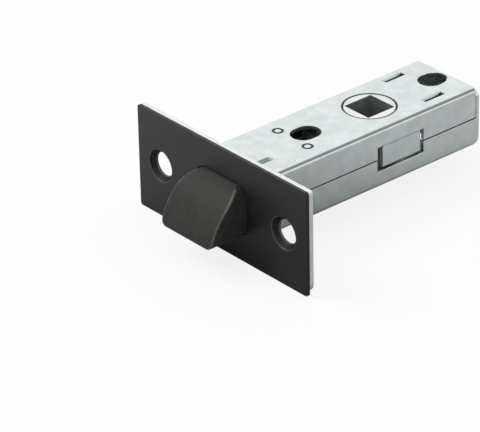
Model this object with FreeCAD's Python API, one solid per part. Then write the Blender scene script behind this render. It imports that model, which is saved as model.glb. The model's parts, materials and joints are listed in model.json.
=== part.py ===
import FreeCAD, Part
import math
import os

# Tubular door latch with a two-plate forend, a pressed steel case, a sliding bolt and
# a turning follower. Millimetres.
# X runs along the faceplate, Y runs from the faceplate into the door, Z is the spindle axis.
# The origin is the centre of the cover's front face.

# Faceplate: a thin black cover over a cast forend
PLATE_LENGTH = 57.0
PLATE_WIDTH = 25.6
COVER_THICKNESS = 0.8
COVER_CORNER_RADIUS = 0.7
FOREND_THICKNESS = 1.1
FOREND_BOTTOM_STEP = 0.6
FOREND_BOTTOM_RADIUS = 2.0

# Screw holes, drawn from the cover as collars that reach through the forend
SCREW_END_DISTANCE = 7.6
SCREW_HOLE_DIAMETER = 5.8
COUNTERSINK_DIAMETER = 8.6
COUNTERSINK_DEPTH = 1.2
COLLAR_WALL = 0.9
COLLAR_CLEARANCE = 0.05
COLLAR_END_SETBACK = 0.1

# Spindle follower
SPINDLE_SQUARE = 8.05
CORE_CORNER_WALL = 0.408
HUB_SHOULDER = 0.5
HUB_RECESS = 0.65
HUB_BEARING_CLEARANCE = 0.1
FLANGE_TAB_CLEARANCE = 0.6
FLANGE_THICKNESS = 1.0
WASHER_THICKNESS = 0.4
WASHER_BORE_CLEARANCE = 0.15
END_PLAY = 0.1
HORN_WIDTH = 2.4
HORN_HEIGHT = 6.0
HORN_FLANK_CLEARANCE = 0.07

# Clearances between pieces that move past each other inside the case
RUNNING_CLEARANCE = 0.2
PULL_PIN_RADIUS = 1.05
PULL_TENON_RADIUS = 0.65
DRAW_THICKNESS = 1.5
DRAW_SIDE_CLEARANCE = 0.25
DRAW_FLANGE_GAP = 0.4

# Case: two pressed half shells that meet on one seam
SHEET = 0.9
CASE_BEND_RADIUS = 1.35
SEAM_GAP = 0.1
REAR_HOLE_END_DISTANCE = 5.95
REAR_WALL_GAP = 0.2
REAR_WALL_DROP = 1.2
REAR_BEND_RADIUS = 2.5
STAKE_WIDTH = 4.0
STAKE_SIDE_DISTANCE = 4.0

# Holes through both case halves for the handle's bolts; the front one is a slot, and its
# bolt stands a given reach behind the slot's front end
BOLT_HOLE_SPACING = 38.0
BOLT_HOLE_WIDTH = 6.1
FRONT_HOLE_LENGTH = 7.5
FRONT_BOLT_REACH = 4.1
REAR_SLOT_WIDTH = 3.5
REAR_SLOT_REACH = 3.9

# Pressed details of the upper shell, by their distance from its sides
SLIT_SIDE_DISTANCE = 3.4
SLIT_WIDTH = 1.25
SLIT_LENGTH = 6.5
SLIT_SPINDLE_DISTANCE = 13.75
MARK_SIDE_DISTANCE = 5.0
MARK_HOLE_DISTANCE = 3.85
MARK_OUTER_RADIUS = 1.4
MARK_INNER_RADIUS = 0.75
MARK_DEPTH = 0.15
GROOVE_SIDE_DISTANCE = 6.3
GROOVE_WIDTH = 1.8
GROOVE_LENGTH = 9.9
GROOVE_DEPTH = 0.45

# Side tabs of the upper shell, pressed in over the seam
WINDOW_SPINDLE_DISTANCE = 6.7
WINDOW_LENGTH = 14.2
WINDOW_TOP_Z = 3.0
WINDOW_BOTTOM_Z = -3.2
TAB_END_GAP = 1.25
TAB_BOTTOM_GAP = 0.55
TAB_INSET = 0.5
TAB_JOGGLE = 0.6

# Latch bolt
BOLT_PROJECTION = 10.46
BOLT_CASE_SIDE_GAP = 0.5
BOLT_CASE_TOP_GAP = 0.62
BOLT_TOP_RADIUS = 4.0
BOLT_BOTTOM_RADIUS = 1.75
BEVEL_BULGE = 2.05
BOLT_CLEARANCE = 0.2
BOLT_BODY_REACH = 1.3
SHANK_HOLE_CLEARANCE = 0.24

# Draw frame: two forked plates that carry the bolt's pull pins
DRAW_SLOT_CLEARANCE = 0.35
DRAW_CORE_CLEARANCE = 0.25
DRAW_TAPER_CLEARANCE = 1.34
DRAW_TAPER_LENGTH = 3.5
DRAW_SLOT_CORNER = 1.2
RIVET_SETBACK = 1.9
RIVET_RADIUS = 1.1
RIVET_HEAD_RADIUS = 1.8
RIVET_HEAD_HEIGHT = 0.7

# Bolt springs, their guide pins and the block they push against
BLOCK_HORN_DISTANCE = 2.0
BLOCK_THICKNESS = 3.0
BLOCK_POST_CLEARANCE = 0.4
SPRING_WIRE = 0.6
SPRING_MEAN_RADIUS = 1.9
SPRING_TURNS = 7
SPRING_SPANS_PER_TURN = 9
SPRING_POCKET_RADIUS = 2.45
SPRING_POCKET_WALL = 0.55
SPRING_POCKET_FLOOR = 0.9
SPRING_POCKET_DEPTH = 3.5
GUIDE_PIN_RADIUS = 0.8
GUIDE_PIN_REACH = 8.0
GUIDE_PIN_SEAT = 2.0

# Widths, from the spindle's square outwards to the case
CORE_RADIUS = SPINDLE_SQUARE / math.sqrt(2) + CORE_CORNER_WALL
HUB_RADIUS = CORE_RADIUS + HUB_SHOULDER
PULL_PIN_X = CORE_RADIUS + RUNNING_CLEARANCE + PULL_PIN_RADIUS
TAB_INNER_X = PULL_PIN_X + PULL_PIN_RADIUS + RUNNING_CLEARANCE
HORN_RADIUS = TAB_INNER_X - RUNNING_CLEARANCE
FLANGE_RADIUS = TAB_INNER_X - FLANGE_TAB_CLEARANCE
INNER_HALF_WIDTH = TAB_INNER_X + TAB_INSET
CASE_WIDTH = 2 * (INNER_HALF_WIDTH + SHEET)
STAKE_X = CASE_WIDTH / 2 - STAKE_SIDE_DISTANCE
SLIT_X = CASE_WIDTH / 2 - SLIT_SIDE_DISTANCE
MARK_X = CASE_WIDTH / 2 - MARK_SIDE_DISTANCE
GROOVE_X = CASE_WIDTH / 2 - GROOVE_SIDE_DISTANCE
BOLT_WIDTH = 2 * (INNER_HALF_WIDTH - BOLT_CASE_SIDE_GAP)
SPRING_X = BOLT_WIDTH / 2 - SPRING_POCKET_WALL - SPRING_POCKET_RADIUS
RIVET_X = SPRING_X
DRAW_HALF_WIDTH = INNER_HALF_WIDTH - DRAW_SIDE_CLEARANCE
DRAW_ARM_INNER = CORE_RADIUS + DRAW_CORE_CLEARANCE
DRAW_ARM_WIDTH = DRAW_HALF_WIDTH - DRAW_ARM_INNER
DRAW_SLOT_WIDTH = BOLT_HOLE_WIDTH + 2 * DRAW_SLOT_CLEARANCE
BLOCK_POST_WIDTH = DRAW_SLOT_WIDTH - 2 * BLOCK_POST_CLEARANCE
SCREW_X = PLATE_LENGTH / 2 - SCREW_END_DISTANCE

# Heights, from the horns outwards to the case
DRAW_INNER_Z = HORN_HEIGHT / 2 + RUNNING_CLEARANCE
DRAW_OUTER_Z = DRAW_INNER_Z + DRAW_THICKNESS
FLANGE_TOP_Z = DRAW_OUTER_Z + DRAW_FLANGE_GAP + FLANGE_THICKNESS
WASHER_FACE_Z = FLANGE_TOP_Z + WASHER_THICKNESS
INNER_HALF_HEIGHT = WASHER_FACE_Z + END_PLAY
CASE_HEIGHT = 2 * (INNER_HALF_HEIGHT + SHEET)
BOLT_HEIGHT = 2 * (INNER_HALF_HEIGHT - BOLT_CASE_TOP_GAP)
BLOCK_HEIGHT = 2 * (DRAW_INNER_Z - RUNNING_CLEARANCE)
HUB_FACE_Z = CASE_HEIGHT / 2 - HUB_RECESS

# Places along Y, from the faceplate inwards; the backset is the spindle axis's place
CASE_START_Y = COVER_THICKNESS + FOREND_THICKNESS
BOLT_BODY_END_Y = CASE_START_Y + BOLT_BODY_REACH
RIVET_Y = BOLT_BODY_END_Y + RIVET_SETBACK
SPRING_FRONT_Y = RIVET_Y + RIVET_RADIUS + SPRING_POCKET_FLOOR
BOLT_SHANK_END_Y = SPRING_FRONT_Y + SPRING_POCKET_DEPTH
FRONT_HOLE_START_Y = BOLT_SHANK_END_Y + BOLT_PROJECTION + SHANK_HOLE_CLEARANCE
FRONT_HOLE_Y = FRONT_HOLE_START_Y + FRONT_HOLE_LENGTH / 2
BACKSET = FRONT_HOLE_START_Y + FRONT_BOLT_REACH + BOLT_HOLE_SPACING / 2
REAR_HOLE_Y = BACKSET + BOLT_HOLE_SPACING / 2
CASE_LENGTH = REAR_HOLE_Y + REAR_HOLE_END_DISTANCE
REAR_WALL_FRONT_Y = CASE_LENGTH - SHEET
UPPER_END_Y = REAR_WALL_FRONT_Y - REAR_WALL_GAP
WINDOW_FRONT_Y = BACKSET - WINDOW_SPINDLE_DISTANCE
SLIT_Y = BACKSET + SLIT_SPINDLE_DISTANCE
MARK_Y = FRONT_HOLE_Y - MARK_HOLE_DISTANCE
GROOVE_END_Y = CASE_START_Y + GROOVE_LENGTH
PULL_PIN_Y = BACKSET - BOLT_PROJECTION / 2
DRAW_WIDE_END_Y = BACKSET - CORE_RADIUS - BOLT_PROJECTION - DRAW_TAPER_CLEARANCE
BLOCK_END_Y = BACKSET - HORN_RADIUS - BLOCK_HORN_DISTANCE
BLOCK_FRONT_Y = BLOCK_END_Y - BLOCK_THICKNESS


def vec(x, y, z):
    return FreeCAD.Vector(x, y, z)


def box(x0, x1, y0, y1, z0, z1):
    return Part.makeBox(x1 - x0, y1 - y0, z1 - z0, vec(x0, y0, z0))


def cylinder_y(radius, x, y0, y1, z=0.0):
    return Part.makeCylinder(radius, y1 - y0, vec(x, y0, z), vec(0, 1, 0))


def cylinder_z(radius, x, y, z0, z1):
    return Part.makeCylinder(radius, z1 - z0, vec(x, y, z0), vec(0, 0, 1))


def union(shapes):
    """Join touching or overlapping solids into one clean solid."""
    result = shapes[0]
    for shape in shapes[1:]:
        result = result.fuse(shape)
    return result.removeSplitter()


def subtract(shape, cutters):
    for cutter in cutters:
        shape = shape.cut(cutter)
    return shape


def both_sides(make):
    """Call make with the sign of the left side and of the right side."""
    return [make(side) for side in (-1, 1)]


def rounded_section(half_width, top, bottom, top_radius, bottom_radius, y):
    """A face in the XZ plane: a rectangle with one radius at the top and one at the bottom."""
    diagonal = math.sqrt(0.5)

    def corner(sign_x, sign_z, radius):
        cx = sign_x * (half_width - radius)
        cz = (top if sign_z > 0 else bottom) - sign_z * radius
        on_side = vec(cx + sign_x * radius, y, cz)
        middle = vec(cx + sign_x * radius * diagonal, y, cz + sign_z * radius * diagonal)
        on_end = vec(cx, y, cz + sign_z * radius)
        return on_side, middle, on_end

    corners = [
        corner(1, 1, top_radius),
        corner(-1, 1, top_radius)[::-1],
        corner(-1, -1, bottom_radius),
        corner(1, -1, bottom_radius)[::-1],
    ]
    edges = []
    for index, (start, middle, end) in enumerate(corners):
        following = corners[(index + 1) % len(corners)][0]
        edges.append(Part.Arc(start, middle, end).toShape())
        edges.append(Part.LineSegment(end, following).toShape())
    edges = [edge for edge in edges if edge.Length > 1e-6]
    return Part.Face(Part.Wire(edges))


def rounded_bar(half_width, top, bottom, top_radius, bottom_radius, y0, y1):
    face = rounded_section(half_width, top, bottom, top_radius, bottom_radius, y0)
    return face.extrude(vec(0, y1 - y0, 0))


def obround_z(x, y, width, length, z0, z1):
    """A slot with round ends along Y, cut along Z."""
    radius = width / 2
    reach = length / 2 - radius
    parts = [cylinder_z(radius, x, y + end * reach, z0, z1) for end in (-1, 1)]
    parts.append(box(x - radius, x + radius, y - reach, y + reach, z0, z1))
    return union(parts)


def polygon_prism(points, direction):
    """Extrude the closed outline through the points along the direction."""
    wire = Part.makePolygon(points + [points[0]])
    return Part.Face(wire).extrude(direction)


def bolt_section(gap, y0, y1):
    """The bolt's rounded section, grown by the gap all round."""
    half_height = BOLT_HEIGHT / 2 + gap
    return rounded_bar(
        BOLT_WIDTH / 2 + gap,
        half_height,
        -half_height,
        BOLT_TOP_RADIUS + gap,
        BOLT_BOTTOM_RADIUS + gap,
        y0,
        y1,
    )


def turned_y(outline, x):
    """Turn an outline of radius and depth about a line along Y at x."""
    points = [vec(radius, y, 0) for radius, y in outline]
    wire = Part.makePolygon(points + [points[0]])
    solid = Part.Face(wire).revolve(vec(0, 0, 0), vec(0, 1, 0), 360)
    solid.translate(vec(x, 0, 0))
    return solid


def screw_hole(side):
    """The countersink and the hole behind it, open right through the faceplate."""
    sink = COUNTERSINK_DIAMETER / 2
    hole = SCREW_HOLE_DIAMETER / 2
    end = CASE_START_Y + 1
    outline = [(0, 0), (sink, 0), (hole, COUNTERSINK_DEPTH), (hole, end), (0, end)]
    return turned_y(outline, side * SCREW_X)


def screw_collar(side, gap, end):
    """The outside of the collar round a screw hole, grown by the gap."""
    radius = SCREW_HOLE_DIAMETER / 2 + COLLAR_WALL + gap
    return cylinder_y(radius, side * SCREW_X, COVER_THICKNESS, end)


def stake(side, shell, gap=0.0):
    """The tongue of a case shell that is staked into the forend; shell is +1 above, -1 below."""
    near = shell * (INNER_HALF_HEIGHT - gap)
    far = shell * (CASE_HEIGHT / 2 + gap)
    x = side * STAKE_X
    half = STAKE_WIDTH / 2 + gap
    return box(x - half, x + half, COVER_THICKNESS, CASE_START_Y, min(near, far), max(near, far))


def cover_plate():
    half = PLATE_WIDTH / 2
    radius = COVER_CORNER_RADIUS
    plate = rounded_bar(PLATE_LENGTH / 2, half, -half, radius, radius, 0, COVER_THICKNESS)
    collar_end = CASE_START_Y - COLLAR_END_SETBACK
    collars = both_sides(lambda side: screw_collar(side, 0, collar_end))
    cutters = both_sides(screw_hole)
    cutters.append(bolt_section(BOLT_CLEARANCE, -1, COVER_THICKNESS + 1))
    return subtract(union([plate] + collars), cutters)


def forend():
    top = PLATE_WIDTH / 2
    bottom = -top + FOREND_BOTTOM_STEP
    plate = rounded_bar(
        PLATE_LENGTH / 2,
        top,
        bottom,
        COVER_CORNER_RADIUS,
        FOREND_BOTTOM_RADIUS,
        COVER_THICKNESS,
        CASE_START_Y,
    )
    cutters = both_sides(lambda side: screw_collar(side, COLLAR_CLEARANCE, CASE_START_Y + 1))
    cutters.append(bolt_section(BOLT_CLEARANCE, COVER_THICKNESS - 1, CASE_START_Y + 1))
    for shell in (-1, 1):
        cutters.extend(stake(side, shell) for side in (-1, 1))
    return subtract(plate, cutters)


def case_tube(y1):
    """The full tube of the case, of which each shell is a half."""
    half_width = CASE_WIDTH / 2
    half_height = CASE_HEIGHT / 2
    inner_radius = CASE_BEND_RADIUS - SHEET
    outer = rounded_bar(
        half_width, half_height, -half_height, CASE_BEND_RADIUS, CASE_BEND_RADIUS, CASE_START_Y, y1
    )
    inner = rounded_bar(
        INNER_HALF_WIDTH,
        INNER_HALF_HEIGHT,
        -INNER_HALF_HEIGHT,
        inner_radius,
        inner_radius,
        CASE_START_Y - 1,
        y1 + 1,
    )
    return outer.cut(inner)


def case_holes():
    """Holes that go through the top and the bottom of the case alike."""
    z0 = -CASE_HEIGHT
    z1 = CASE_HEIGHT
    return [
        obround_z(0, FRONT_HOLE_Y, BOLT_HOLE_WIDTH, FRONT_HOLE_LENGTH, z0, z1),
        cylinder_z(BOLT_HOLE_WIDTH / 2, 0, REAR_HOLE_Y, z0, z1),
        cylinder_z(HUB_RADIUS + HUB_BEARING_CLEARANCE, 0, BACKSET, z0, z1),
    ]


def rear_hole_slot():
    """The narrow extension of the rear hole towards the end of the upper shell."""
    half_slot = REAR_SLOT_WIDTH / 2
    round_end_y = REAR_HOLE_Y + REAR_SLOT_REACH - half_slot
    straight = box(-half_slot, half_slot, REAR_HOLE_Y, round_end_y, 0, CASE_HEIGHT)
    return straight.fuse(cylinder_z(half_slot, 0, round_end_y, 0, CASE_HEIGHT))


def window(z0, z1):
    """Side cut-outs around the tabs, between two heights."""
    y1 = WINDOW_FRONT_Y + WINDOW_LENGTH
    return box(-CASE_WIDTH, CASE_WIDTH, WINDOW_FRONT_Y, y1, z0, z1)


def side_tab(side):
    """A tab that steps in below its top bend and reaches down over the seam."""
    outer = CASE_WIDTH / 2
    bottom = WINDOW_BOTTOM_Z + TAB_BOTTOM_GAP
    step_z = WINDOW_TOP_Z - TAB_JOGGLE
    root_z = WINDOW_TOP_Z + SHEET / 2
    inner_bend_z = WINDOW_TOP_Z + SHEET / 10
    y0 = WINDOW_FRONT_Y + TAB_END_GAP
    width = WINDOW_LENGTH - 2 * TAB_END_GAP
    profile = [
        (outer, root_z),
        (outer, WINDOW_TOP_Z),
        (outer - TAB_INSET, step_z),
        (outer - TAB_INSET, bottom),
        (outer - TAB_INSET - SHEET, bottom),
        (outer - TAB_INSET - SHEET, step_z),
        (INNER_HALF_WIDTH, inner_bend_z),
        (INNER_HALF_WIDTH, root_z),
    ]
    points = [vec(side * x, y0, z) for x, z in profile]
    return polygon_prism(points, vec(0, width, 0))


def guide_bead(grow):
    """The pressed groove of the top; grown by the sheet it is the bead under the top."""
    radius = (GROOVE_WIDTH / 2) ** 2 / (2 * GROOVE_DEPTH) + GROOVE_DEPTH / 2
    centre_z = CASE_HEIGHT / 2 - GROOVE_DEPTH + radius
    end_y = GROOVE_END_Y - GROOVE_WIDTH / 2
    bar = cylinder_y(radius + grow, GROOVE_X, CASE_START_Y, end_y, centre_z)
    ball = Part.makeSphere(radius + grow, vec(GROOVE_X, end_y, centre_z))
    return bar.fuse(ball)


def ring_mark(side):
    x = side * MARK_X
    top = CASE_HEIGHT / 2
    outer = cylinder_z(MARK_OUTER_RADIUS, x, MARK_Y, top - MARK_DEPTH, top + 1)
    return outer.cut(cylinder_z(MARK_INNER_RADIUS, x, MARK_Y, top - MARK_DEPTH, top + 1))


def upper_shell():
    tube = case_tube(UPPER_END_Y)
    half = tube.common(box(-CASE_WIDTH, CASE_WIDTH, 0, CASE_LENGTH, 0, CASE_HEIGHT))
    half = half.cut(window(-1, WINDOW_TOP_Z))
    bead = guide_bead(SHEET).common(
        box(-CASE_WIDTH, CASE_WIDTH, CASE_START_Y, CASE_LENGTH, 0, INNER_HALF_HEIGHT)
    )
    tongues = both_sides(lambda side: stake(side, 1))
    shell = union([half, bead] + tongues + both_sides(side_tab))
    cutters = case_holes() + both_sides(ring_mark)
    cutters.extend([guide_bead(0.0), rear_hole_slot()])
    for side in (-1, 1):
        slit = obround_z(side * SLIT_X, SLIT_Y, SLIT_WIDTH, SLIT_LENGTH, 0, CASE_HEIGHT)
        cutters.append(slit)
    return subtract(shell, cutters)


def rear_bend_cutter():
    """What is taken off below to round the bend from the floor into the rear wall."""
    radius = REAR_BEND_RADIUS
    y = CASE_LENGTH - radius
    z = -CASE_HEIGHT / 2 + radius
    block = box(-CASE_WIDTH, CASE_WIDTH, y, CASE_LENGTH + 1, z - radius - 1, z)
    roller = Part.makeCylinder(radius, 2 * CASE_WIDTH, vec(-CASE_WIDTH, y, z), vec(1, 0, 0))
    return block.cut(roller)


def lower_shell():
    tube = case_tube(REAR_WALL_FRONT_Y)
    half = tube.common(
        box(-CASE_WIDTH, CASE_WIDTH, 0, CASE_LENGTH, -CASE_HEIGHT, -SEAM_GAP)
    )
    half = half.cut(window(WINDOW_BOTTOM_Z, 1))
    wall_top = CASE_HEIGHT / 2 - REAR_WALL_DROP
    rear_wall = rounded_bar(
        CASE_WIDTH / 2,
        wall_top,
        -CASE_HEIGHT / 2,
        CASE_BEND_RADIUS,
        CASE_BEND_RADIUS,
        REAR_WALL_FRONT_Y,
        CASE_LENGTH,
    )
    inside = REAR_BEND_RADIUS - SHEET
    corner_y = REAR_WALL_FRONT_Y - inside
    corner_z = -INNER_HALF_HEIGHT + inside
    corner = box(
        -INNER_HALF_WIDTH, INNER_HALF_WIDTH, corner_y, REAR_WALL_FRONT_Y, -INNER_HALF_HEIGHT, corner_z
    )
    roller = Part.makeCylinder(
        inside, 2 * CASE_WIDTH, vec(-CASE_WIDTH, corner_y, corner_z), vec(1, 0, 0)
    )
    tongues = both_sides(lambda side: stake(side, -1))
    shell = union([half, rear_wall, corner.cut(roller)] + tongues)
    return subtract(shell, [rear_bend_cutter()] + case_holes())


def latch_bolt():
    half_height = BOLT_HEIGHT / 2
    body = bolt_section(0.0, -BOLT_PROJECTION, BOLT_BODY_END_Y)
    top = vec(0, 0, half_height)
    tip = vec(0, -BOLT_PROJECTION, -half_height)
    chord = tip - top
    normal = vec(0, chord.z, -chord.y)
    normal.normalize()
    middle = (top + tip) * 0.5 + normal * BEVEL_BULGE
    shift = vec(-BOLT_WIDTH, 0, 0)
    beyond = vec(0, -2 * BOLT_PROJECTION, half_height)
    below = vec(0, -2 * BOLT_PROJECTION, -half_height)
    outline = Part.Wire(
        [
            Part.Arc(top + shift, middle + shift, tip + shift).toShape(),
            Part.LineSegment(tip + shift, below + shift).toShape(),
            Part.LineSegment(below + shift, beyond + shift).toShape(),
            Part.LineSegment(beyond + shift, top + shift).toShape(),
        ]
    )
    bevel_cutter = Part.Face(outline).extrude(vec(2 * BOLT_WIDTH, 0, 0))
    nose = body.cut(bevel_cutter)
    shank = box(
        -BOLT_WIDTH / 2,
        BOLT_WIDTH / 2,
        BOLT_BODY_END_Y - 1,
        BOLT_SHANK_END_Y,
        -DRAW_INNER_Z,
        DRAW_INNER_Z,
    )
    cutters = []
    for side in (-1, 1):
        cutters.append(
            cylinder_y(
                SPRING_POCKET_RADIUS, side * SPRING_X, SPRING_FRONT_Y, BOLT_SHANK_END_Y + 1
            )
        )
        cutters.append(
            cylinder_z(RIVET_RADIUS, side * RIVET_X, RIVET_Y, -BOLT_HEIGHT, BOLT_HEIGHT)
        )
    return subtract(union([nose, shank]), cutters)


def draw_plate(shell):
    """One fork of the draw frame; shell is +1 for the upper plate and -1 for the lower."""
    half_slot = DRAW_SLOT_WIDTH / 2
    arm_outer = DRAW_ARM_INNER + DRAW_ARM_WIDTH
    taper_end_y = DRAW_WIDE_END_Y + DRAW_TAPER_LENGTH
    z = DRAW_INNER_Z if shell > 0 else -DRAW_OUTER_Z
    web = box(
        -DRAW_HALF_WIDTH,
        DRAW_HALF_WIDTH,
        BOLT_BODY_END_Y,
        BOLT_SHANK_END_Y,
        z,
        z + DRAW_THICKNESS,
    )

    def arm(side):
        points = [
            vec(side * half_slot, BOLT_SHANK_END_Y, z),
            vec(side * DRAW_HALF_WIDTH, BOLT_SHANK_END_Y, z),
            vec(side * DRAW_HALF_WIDTH, DRAW_WIDE_END_Y, z),
            vec(side * arm_outer, taper_end_y, z),
            vec(side * arm_outer, PULL_PIN_Y, z),
            vec(side * DRAW_ARM_INNER, PULL_PIN_Y, z),
            vec(side * DRAW_ARM_INNER, taper_end_y, z),
            vec(side * half_slot, DRAW_WIDE_END_Y, z),
        ]
        return polygon_prism(points, vec(0, 0, DRAW_THICKNESS))

    def eye(side):
        x = side * (DRAW_ARM_INNER + DRAW_ARM_WIDTH / 2)
        return cylinder_z(DRAW_ARM_WIDTH / 2, x, PULL_PIN_Y, z, z + DRAW_THICKNESS)

    def slot_corner(side):
        x = side * (half_slot - DRAW_SLOT_CORNER)
        y = BOLT_SHANK_END_Y + DRAW_SLOT_CORNER
        fill = box(
            min(x, side * half_slot),
            max(x, side * half_slot),
            BOLT_SHANK_END_Y,
            y,
            z,
            z + DRAW_THICKNESS,
        )
        return fill.cut(cylinder_z(DRAW_SLOT_CORNER, x, y, z, z + DRAW_THICKNESS))

    parts = [web] + both_sides(arm) + both_sides(eye) + both_sides(slot_corner)
    cutters = []
    for side in (-1, 1):
        z1 = z + DRAW_THICKNESS
        cutters.append(cylinder_z(RIVET_RADIUS, side * RIVET_X, RIVET_Y, z, z1))
        cutters.append(cylinder_z(PULL_TENON_RADIUS, side * PULL_PIN_X, PULL_PIN_Y, z, z1))
    return subtract(union(parts), cutters)


def bolt_rivet(side):
    """A rivet with a flat head on each draw plate."""
    x = side * RIVET_X
    shaft = cylinder_z(RIVET_RADIUS, x, RIVET_Y, -DRAW_OUTER_Z, DRAW_OUTER_Z)
    head_end = DRAW_OUTER_Z + RIVET_HEAD_HEIGHT
    heads = [
        cylinder_z(RIVET_HEAD_RADIUS, x, RIVET_Y, z0, z0 + RIVET_HEAD_HEIGHT)
        for z0 in (DRAW_OUTER_Z, -head_end)
    ]
    return union([shaft] + heads)


def pull_pin(side):
    x = side * PULL_PIN_X
    body = cylinder_z(PULL_PIN_RADIUS, x, PULL_PIN_Y, -DRAW_INNER_Z, DRAW_INNER_Z)
    tenon = cylinder_z(PULL_TENON_RADIUS, x, PULL_PIN_Y, -DRAW_OUTER_Z, DRAW_OUTER_Z)
    return union([body, tenon])


def horn_flank_offset():
    """How far a horn's straight flank stays clear of the line from the hub to the pull pin.

    The pin keeps step with the follower, so seen from the follower it bows out of that
    line by a small amount on its way; the flank leaves room for the bow."""
    reach = BOLT_PROJECTION / 2
    line_angle = math.atan2(reach, PULL_PIN_X)
    half_turn = line_angle
    bow = 0.0
    steps = 40
    for index in range(steps + 1):
        turn = half_turn * index / steps
        y = -reach + reach * turn / half_turn
        angle = math.atan2(y, PULL_PIN_X) - turn
        distance = math.hypot(PULL_PIN_X, y)
        bow = max(bow, -distance * math.sin(angle + line_angle))
    return PULL_PIN_RADIUS + bow + HORN_FLANK_CLEARANCE


def horn(side):
    """One of the follower's two horns, standing in front of its pull pin at rest."""
    line_angle = math.atan2(BOLT_PROJECTION / 2, PULL_PIN_X)
    flank = horn_flank_offset()
    bar = box(0, HORN_RADIUS, -flank - HORN_WIDTH, -flank, -HORN_HEIGHT / 2, HORN_HEIGHT / 2)
    rim = cylinder_z(HORN_RADIUS, 0, 0, -HORN_HEIGHT / 2, HORN_HEIGHT / 2)
    bar = bar.common(rim)
    bar.rotate(vec(0, 0, 0), vec(0, 0, 1), -math.degrees(line_angle))
    if side < 0:
        bar = bar.mirror(vec(0, 0, 0), vec(1, 0, 0))
    bar.translate(vec(0, BACKSET, 0))
    return bar


def follower():
    profile = [
        (0, -HUB_FACE_Z),
        (HUB_RADIUS, -HUB_FACE_Z),
        (HUB_RADIUS, -FLANGE_TOP_Z),
        (FLANGE_RADIUS, -FLANGE_TOP_Z),
        (FLANGE_RADIUS, -FLANGE_TOP_Z + FLANGE_THICKNESS),
        (CORE_RADIUS, -FLANGE_TOP_Z + FLANGE_THICKNESS),
    ]
    upper_half = [(r, -z) for r, z in reversed(profile)]
    points = [vec(r, 0, z) for r, z in profile + upper_half]
    wire = Part.makePolygon(points + [points[0]])
    hub = Part.Face(wire).revolve(vec(0, 0, 0), vec(0, 0, 1), 360)
    hub.translate(vec(0, BACKSET, 0))
    half = SPINDLE_SQUARE / 2
    square = box(-half, half, BACKSET - half, BACKSET + half, -CASE_HEIGHT, CASE_HEIGHT)
    return union([hub] + both_sides(horn)).cut(square)


def hub_washer(shell):
    """Thin ring between the follower's flange and the case."""
    z0 = min(shell * FLANGE_TOP_Z, shell * WASHER_FACE_Z)
    z1 = z0 + WASHER_THICKNESS
    bore = HUB_RADIUS + WASHER_BORE_CLEARANCE
    ring = cylinder_z(FLANGE_RADIUS, 0, BACKSET, z0, z1)
    return ring.cut(cylinder_z(bore, 0, BACKSET, z0, z1))


def spring_block():
    cross_bar = box(
        -INNER_HALF_WIDTH,
        INNER_HALF_WIDTH,
        BLOCK_FRONT_Y,
        BLOCK_END_Y,
        -BLOCK_HEIGHT / 2,
        BLOCK_HEIGHT / 2,
    )
    post = box(
        -BLOCK_POST_WIDTH / 2,
        BLOCK_POST_WIDTH / 2,
        BLOCK_FRONT_Y,
        BLOCK_END_Y,
        -INNER_HALF_HEIGHT,
        INNER_HALF_HEIGHT,
    )
    seats = both_sides(
        lambda side: cylinder_y(
            GUIDE_PIN_RADIUS, side * SPRING_X, BLOCK_FRONT_Y, BLOCK_FRONT_Y + GUIDE_PIN_SEAT
        )
    )
    return subtract(union([cross_bar, post]), seats)


def spring_guide(side):
    start = BLOCK_FRONT_Y - GUIDE_PIN_REACH
    end = BLOCK_FRONT_Y + GUIDE_PIN_SEAT
    pin = cylinder_y(GUIDE_PIN_RADIUS, side * SPRING_X, start, end)
    nose = [edge for edge in pin.Edges if edge.CenterOfMass.y < start + 0.01 and edge.Closed]
    return pin.makeChamfer(GUIDE_PIN_RADIUS / 3, nose)


def bolt_spring(side):
    """A compression spring between the bolt's pocket and the block.

    The wire has six sides and follows the coil in short straight spans."""
    radius = SPRING_WIRE / 2
    start = SPRING_FRONT_Y + radius
    height = BLOCK_FRONT_Y - SPRING_FRONT_Y - SPRING_WIRE
    spans = SPRING_TURNS * SPRING_SPANS_PER_TURN
    path = []
    for index in range(spans + 1):
        turn = 2 * math.pi * index / SPRING_SPANS_PER_TURN
        x = SPRING_MEAN_RADIUS * math.cos(turn)
        z = SPRING_MEAN_RADIUS * math.sin(turn)
        path.append(vec(x, height * index / spans, z))
    outward = vec(1, 0, 0)
    across = (path[1] - path[0]).cross(outward)
    across.normalize()
    section = []
    for index in range(6):
        angle = math.pi / 3 * (index + 0.5)
        offset = outward * (radius * math.cos(angle)) + across * (radius * math.sin(angle))
        section.append(path[0] + offset)
    outline = Part.makePolygon(section + [section[0]])
    coil = Part.Wire(Part.makePolygon(path).Edges).makePipeShell([outline], True, True, 1)
    coil.translate(vec(side * SPRING_X, start, 0))
    return coil


def main():
    nodes = {
        "cover_plate": cover_plate(),
        "forend": forend(),
        "upper_shell": upper_shell(),
        "lower_shell": lower_shell(),
        "latch_bolt": latch_bolt(),
        "upper_draw_plate": draw_plate(1),
        "lower_draw_plate": draw_plate(-1),
        "follower": follower(),
        "upper_hub_washer": hub_washer(1),
        "lower_hub_washer": hub_washer(-1),
        "spring_block": spring_block(),
    }
    for name, side in (("left", -1), ("right", 1)):
        nodes["bolt_rivet_" + name] = bolt_rivet(side)
        nodes["pull_pin_" + name] = pull_pin(side)
        nodes["spring_guide_" + name] = spring_guide(side)
        nodes["bolt_spring_" + name] = bolt_spring(side)
    os.makedirs("parts", exist_ok=True)
    for name, shape in nodes.items():
        shape.exportStep(os.path.join("parts", name + ".step"))
        print(name, len(shape.Solids), "solid, valid:", shape.isValid(), "volume:", round(shape.Volume, 2))


main()
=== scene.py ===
import json
import math

import bmesh
import bpy
from bpy.props import FloatProperty, FloatVectorProperty, IntProperty, PointerProperty
from mathutils import Matrix, Vector


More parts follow.
